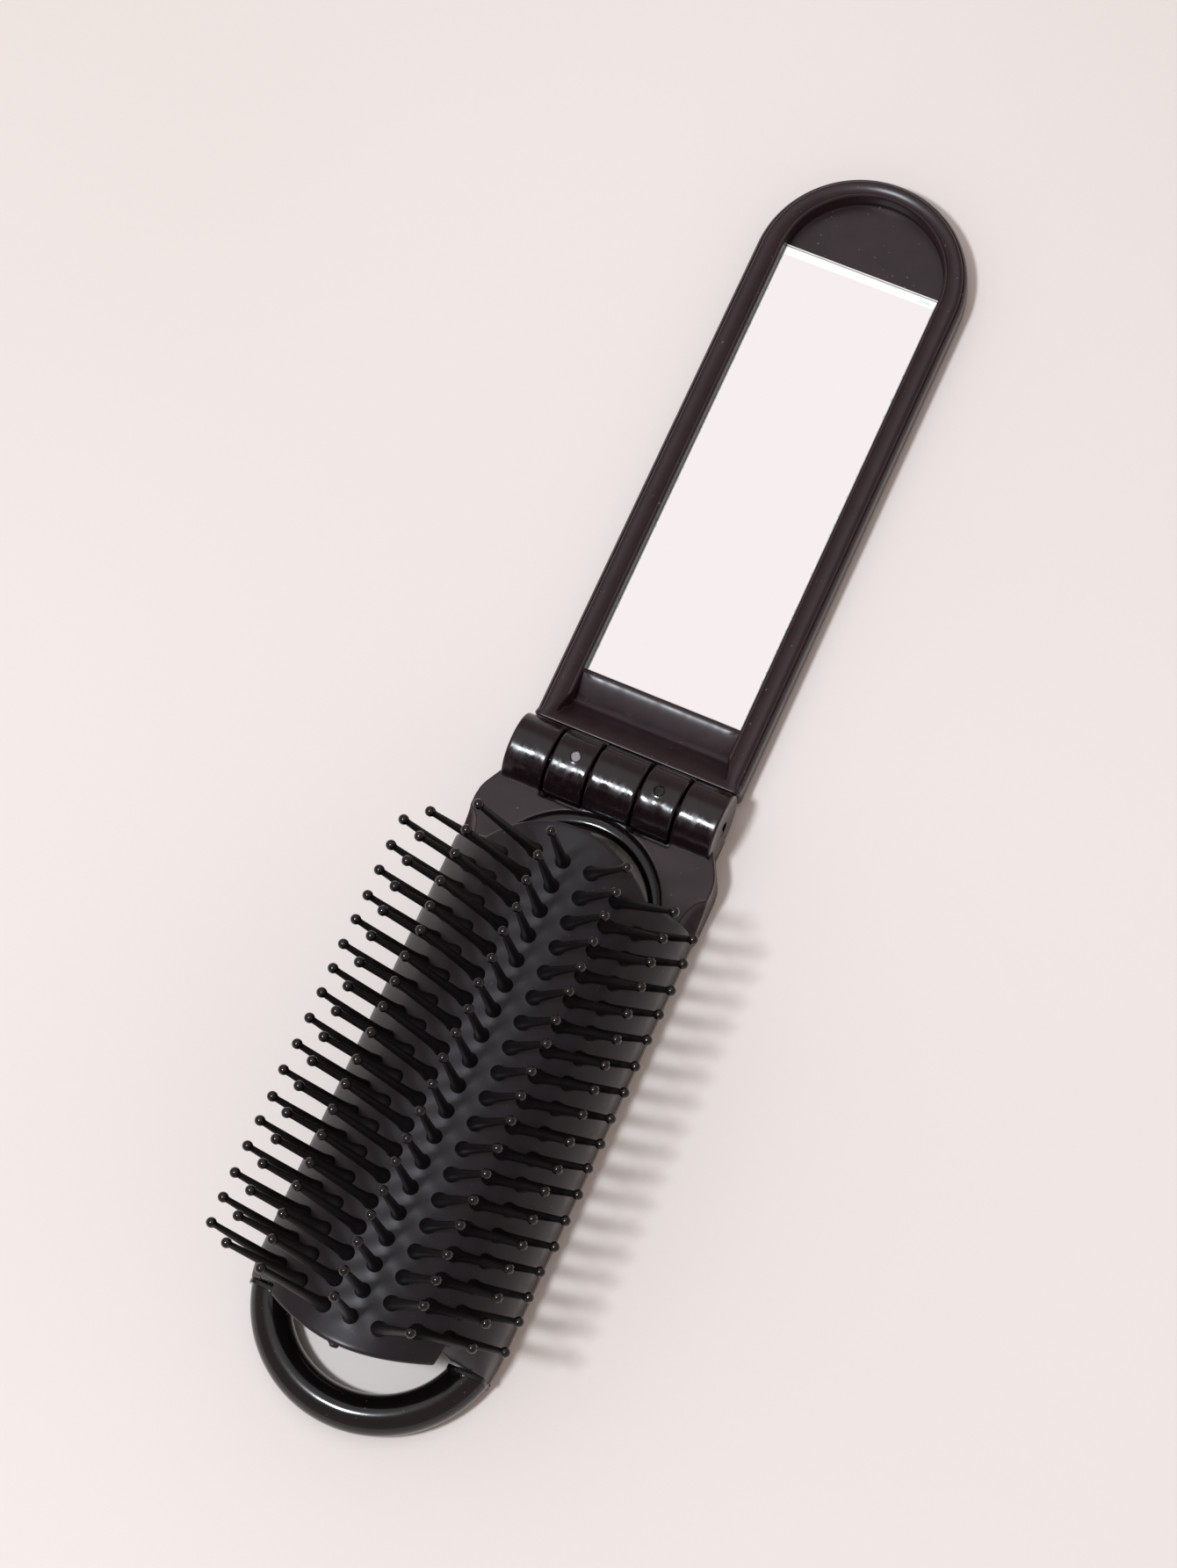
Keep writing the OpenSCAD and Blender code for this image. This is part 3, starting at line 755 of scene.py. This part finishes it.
# ---------------------------------------------------------------- mirror half
# the rim's section, as distance inwards and height, beside the hinge lip's section
RIM = [((5.0, 0.0), (5.0, 0.0)), ((1.4, 0.0), (1.0, 0.0)), ((0.86, 0.11), (0.6, 0.08)),
       ((0.41, 0.41), (0.29, 0.29)), ((0.11, 0.86), (0.08, 0.6)), ((0.0, 1.4), (0.0, 1.0)),
       ((0.0, 2.6), (0.0, 3.0)), ((0.0, 3.75), (0.0, 4.95)), ((0.08, 4.2), (0.02, 5.12)),
       ((0.26, 4.55), (0.06, 5.24)), ((0.44, 4.74), (0.12, 5.32)), ((0.52, 4.72), (0.16, 5.35)),
       ((0.58, 4.66), (0.2, 5.37)), ((0.64, 4.74), (0.24, 5.38)), ((0.74, 4.98), (0.3, 5.385)),
       ((0.95, 5.20), (0.38, 5.385)), ((1.25, 5.33), (0.48, 5.37)), ((1.6, 5.37), (0.62, 5.31)),
       ((2.0, 5.31), (0.80, 5.20)), ((2.4, 5.19), (1.05, 5.04)), ((2.75, 5.05), (1.35, 4.82)),
       ((2.95, 4.93), (1.70, 4.55)), ((3.05, 4.88), (2.05, 4.27)), ((3.13, 4.92), (2.40, 3.98)),
       ((3.25, 5.02), (2.75, 3.68)), ((3.45, 5.03), (3.10, 3.36)), ((3.62, 4.94), (3.45, 3.03)),
       ((3.72, 4.78), (3.80, 2.69)), ((3.75, 4.5), (4.15, 2.35)), ((3.75, 3.0), (4.50, 2.08)),
       ((3.75, 2.1), (4.75, 1.95)), ((3.85, 1.92), (4.9, 1.91)), ((4.2, 1.9), (5.1, 1.9))]


def shell_ring(rim, lip):
    """One closed line round the shell, at the rim's and the hinge lip's own offsets."""
    (i, z), (j, zl) = rim, lip
    w = SHELL_W - i
    cy = ROUND_Y + min(i, RIM_W) / RIM_W * (RECESS_Y - ROUND_Y)
    y0 = SHELL_START + j
    rc = max(0.15, 0.7 - 0.18 * i)
    pts = []

    def blend(y):
        k = min(1.0, max(0.0, (y - y0) / 1.6))
        return zl + (z - zl) * (3 * k * k - 2 * k ** 3)
    for x in np.linspace(0, w - rc, 26)[:-1]:
        pts.append((x, y0, zl))
    for a in np.linspace(-math.pi / 2, 0, 8):
        y = y0 + rc + rc * math.sin(a)
        pts.append((w - rc + rc * math.cos(a), y, blend(y)))
    side = np.concatenate([y0 + rc + np.array([0.15, 0.3, 0.5, 0.7, 0.9, 1.15, 1.4, 1.8, 2.4]),
                           np.linspace(max(12.0, y0 + rc + 2.9), cy, 46)[:-1]])
    pts += [(w, y, blend(y)) for y in side]
    pts += [(w * math.cos(a), cy + w * math.sin(a), z) for a in np.linspace(0, math.pi / 2, 48)]
    left = [(-x, y, zz) for x, y, zz in reversed(pts[1:-1])]
    return [(x, y + PIN_Y, zz) for x, y, zz in pts + left]


def mirror_shell():
    """The tray that holds the glass, from the middle of its back round the rim to its floor."""
    return piece("mirror_shell_body", *swept([shell_ring(*r) for r in RIM]), satin, "mirror_half",
                 "frame_plastic", ("mirror_shell",), sharp=32)


def ramp():
    """The sloping bar that holds the glass at the hinge end, slightly sunken in places."""
    prof = [(14.9, 1.8), (14.9, 3.45), (14.86, 3.68), (14.74, 3.88), (14.52, 4.0), (14.3, 4.0),
            (14.05, 3.95), (13.75, 3.85), (13.4, 3.69), (13.0, 3.49), (12.5, 3.22), (12.0, 2.94),
            (11.5, 2.64), (11.1, 2.38), (10.7, 2.1), (10.35, 1.8)]
    sections = []
    for x in np.linspace(-12.16, 12.16, 60):
        k = max(0.0, (abs(x) - 10.4) / 1.76) ** 2
        wav = 0.03 * math.sin(x * 0.9) + 0.02 * math.sin(x * 2.3 + 1)
        sections.append([(x, PIN_Y + y + (0.9 * k if y < 14 and z > 1.95 else 0.0),
                          z + (wav if z > 2.2 else 0.0)
                          + (0.5 * k if y < 14.4 and z > 1.95 else 0.0))
                         for y, z in prof])
    return piece("glass_ramp", *swept(sections), satin, "mirror_half", "frame_plastic", sharp=50)


def mirror_knuckles():
    """The mirror's two knuckles with the sunken marks of ejector pins, and their webs."""
    parts = []
    spot_a = math.asin(MARK_Y / BARREL_R)
    for i, s in enumerate((-1, 1)):
        x0, x1 = sorted(s * x for x in MIRROR_KNUCKLE)
        peel = orange_peel(21 + i, 0.06)

        def shift(x, r, a, peel=peel, s=s):
            out = peel(x, r, a)
            if r > BARREL_R - 0.2:
                a = (a + math.pi) % (2 * math.pi) - math.pi
                q = math.hypot(x - s * MARK_X, (a - spot_a) * BARREL_R)
                out -= (0.16 if s < 0 else 0.30) / (1 + math.exp((q - 0.72) / 0.03))
                out += 0.04 * math.exp(-((q - 0.86) / 0.10) ** 2)
                if q < 0.7:
                    out += (0.10 if s < 0 else 0.0) * (a - spot_a) * BARREL_R
            return out
        parts.append(lathe_x(barrel_profile(x0, x1, MIRROR_BORE, 46), segments=210, shift=shift))
        web = ((x0 + 0.2, 1.15), (x1 - 0.2, 1.15), (x1, 1.35), (x1, 4.9), (x1 - 0.2, 5.1),
               (x0 + 0.2, 5.1), (x0, 4.9), (x0, 1.35))
        parts.append(swept([[(x, PIN_Y + y, z) for x, z in web] for y in (1.0, 5.2, 5.9)]))
    return piece("mirror_knuckles", *join(parts), knuckle, "mirror_half", "frame_plastic", sharp=35)


def glass():
    """The glass plate: a mirror face with a ground bevel at its far end."""
    x, y0, y1 = GLASS_X, GLASS_START, GLASS_END
    rings = []
    for inset, far, z in ((0.06, 0.06, 2.05), (0.0, 0.0, 2.12), (0.0, 0.0, 2.62), (0.0, 0.05, 2.66),
                          (0.30, 1.70, 3.22), (0.36, 1.78, 3.25)):
        side, near, end = x - inset, y0 + min(inset, 0.06), y1 - far
        outline = [(t, near) for t in np.linspace(-side, side, 9)]
        outline += [(side, t) for t in np.linspace(near, end, 25)[1:]]
        outline += [(t, end) for t in np.linspace(side, -side, 9)[1:]]
        outline += [(-side, t) for t in np.linspace(end, near, 25)[1:-1]]
        rings.append([(px, PIN_Y + py, z) for px, py in outline])
    verts, faces = swept(rings)
    which = [1] * (len(faces) - 2) + [0, 0]
    return piece("mirror_glass_plate", verts, faces, [mirror, glass_edge], "mirror_half",
                 "mirror_glass", ("mirror_glass",), sharp=12, which=which)


plate()
frame_knuckles()
mouth_lip()
frame_loop()
sheets()
pad_flank(-1, "left")
pad_flank(1, "right")
gate_nub()
bristles()
mirror_shell()
ramp()
mirror_knuckles()
glass()
for name, material in (("hinge_pin", steel), ("mirror_tape", tape)):
    o = frame["nodes"][name]
    o.data.materials.clear()
    o.data.materials.append(material)


# ---------------------------------------------------------------- floor, light and camera
def floor():
    """A wide sheet of warm pale paper, fine grained and quite dull, just under the brush."""
    m, t, s, where = new_material("pale_studio_paper")
    grain = noise(t, where, 0.55, 3.0, 0.6)
    cloudy = span(t, noise(t, where, 220.0, 2.0), 0.35, 0.65, 0.0, 1.0)
    wash = two_tone(t, cloudy, "#e8e2de", "#e3dcd7")
    t.links.new(wash, s.inputs["Base Color"])
    s.inputs["Roughness"].default_value = 0.75
    bump = node(t, "ShaderNodeBump", {"Height": grain, "Strength": 0.5, "Distance": 0.05 * MM})
    t.links.new(bump.outputs[0], s.inputs["Normal"])
    me = bpy.data.meshes.new("floor")
    a, z = 3.0, -0.02 * MM
    me.from_pydata([(-a, -a, z), (a, -a, z), (a, a, z), (-a, a, z)], [], [(0, 1, 2, 3)])
    me.materials.append(m)
    shown("floor", me)


def area(name, where, aim, size, power, colour):
    """A rectangular lamp at a place, aimed at a point."""
    d = bpy.data.lights.new(name, "AREA")
    d.shape, d.size, d.size_y = "RECTANGLE", size[0], size[1]
    d.energy, d.color = power, colour
    o = shown(name, d)
    o.location = where
    o.rotation_euler = (Vector(aim) - Vector(where)).to_track_quat("-Z", "Y").to_euler()


def world():
    """A white diffuser overhead, where the mirror looks, in a warm and dimmer room."""
    w = bpy.data.worlds.new("studio")
    bpy.context.scene.world = w
    w.use_nodes = True
    t = w.node_tree
    t.nodes.clear()
    d = node(t, "ShaderNodeTexCoord").outputs["Generated"]
    near = node(t, "ShaderNodeVectorMath", {0: d, 1: (-0.198, 0.240, 0.950)},
                operation="DOT_PRODUCT").outputs["Value"]
    k = node(t, "ShaderNodeMapRange", {"Value": near, "From Min": 0.76, "From Max": 0.965},
             interpolation_type="SMOOTHSTEP").outputs[0]
    mix = node(t, "ShaderNodeMix", {"Factor": k}, data_type="RGBA")
    mix.inputs[6].default_value = (0.46, 0.375, 0.34, 1)
    mix.inputs[7].default_value = (0.975, 0.935, 0.945, 1)
    bg = node(t, "ShaderNodeBackground", {"Color": mix.outputs[2], "Strength": 1.0})
    out = node(t, "ShaderNodeOutputWorld")
    t.links.new(bg.outputs[0], out.inputs["Surface"])


floor()
world()
area("key", (-0.185, -0.33, 1.0), (0, -0.02, 0), (0.13, 0.11), 7.5, (0.875, 0.935, 1.0))

# the photograph's camera, from the fit of the bristle rows
cam = bpy.data.cameras.new("camera")
cam.lens, cam.sensor_width, cam.sensor_fit = 105.355, 36.0, "AUTO"
cam.clip_start = 0.01
o = shown("camera", cam)
turn = Matrix(((0.907692, -0.369967, 0.198039), (0.41085, 0.879566, -0.23993),
               (-0.085422, 0.299146, 0.950376)))
o.matrix_world = Matrix.Translation((0.123259, -0.156950, 0.617404)) @ turn.to_4x4()
bpy.context.scene.camera = o
bpy.context.scene.view_settings.view_transform = "Standard"
